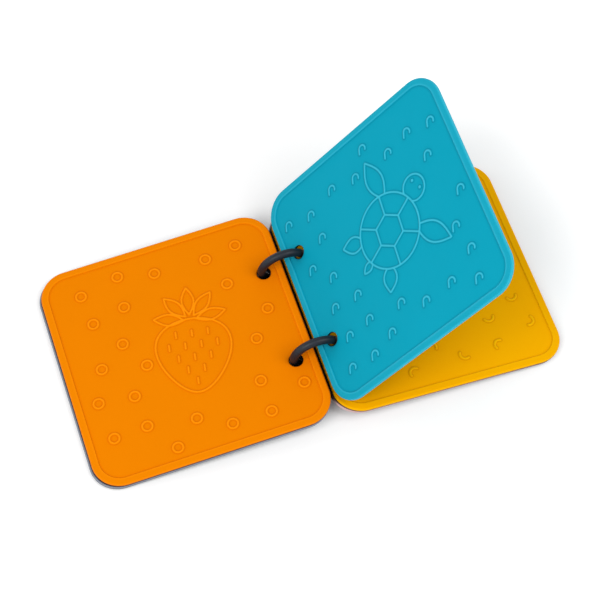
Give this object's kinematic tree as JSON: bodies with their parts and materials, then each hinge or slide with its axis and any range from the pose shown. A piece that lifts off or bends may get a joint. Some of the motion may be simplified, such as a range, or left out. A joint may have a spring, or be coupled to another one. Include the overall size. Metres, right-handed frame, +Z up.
{
  "type": "bath book",
  "caption": "Soft silicone bath book lying open: moulded rounded-square leaves threaded on round rings, one leaf raised.",
  "frame": {"origin": "on the surface that the open book rests on, under the middle of its width and height", "axes": "+X along the open book's width towards the back cover, +Y up the pages along the spine, +Z up"},
  "size_m": [0.2416, 0.1214, 0.1037],
  "materials": {
    "grey_silicone": "satin moulded silicone",
    "orange_silicone": "satin moulded silicone",
    "teal_silicone": "satin moulded silicone",
    "yellow_silicone": "satin moulded silicone",
    "blush_silicone": "satin moulded silicone",
    "charcoal_silicone": "smooth silicone cord"
  },
  "bodies": {
    "back_cover": {"back_cover_leaf": "blush_silicone", "far_ring": "charcoal_silicone", "near_ring": "charcoal_silicone"},
    "yellow_page": {"yellow_leaf": "yellow_silicone"},
    "teal_page": {"teal_leaf": "teal_silicone"},
    "front_cover": {"front_cover_leaf": "grey_silicone"},
    "orange_page": {"orange_leaf": "orange_silicone"}
  },
  "joints": [
    {"name": "yellow_turn", "type": "hinge", "parent": "back_cover", "child": "yellow_page", "pos_m": [0.00047, 0, 0.0139], "axis": [0, -1, 0], "range_deg": [0, 25]},
    {"name": "teal_turn", "type": "hinge", "parent": "yellow_page", "child": "teal_page", "pos_m": [0.00047, 0, 0.0139], "axis": [0, -1, 0], "range_deg": [-51.1, 60]},
    {"name": "front_cover_turn", "type": "hinge", "parent": "back_cover", "child": "front_cover", "pos_m": [0.00047, 0, 0.0139], "axis": [0, -1, 0], "range_deg": [-25, 0]},
    {"name": "orange_turn", "type": "hinge", "parent": "front_cover", "child": "orange_page", "pos_m": [0.00047, 0, 0.0139], "axis": [0, -1, 0], "range_deg": [-25, 0]}
  ]
}
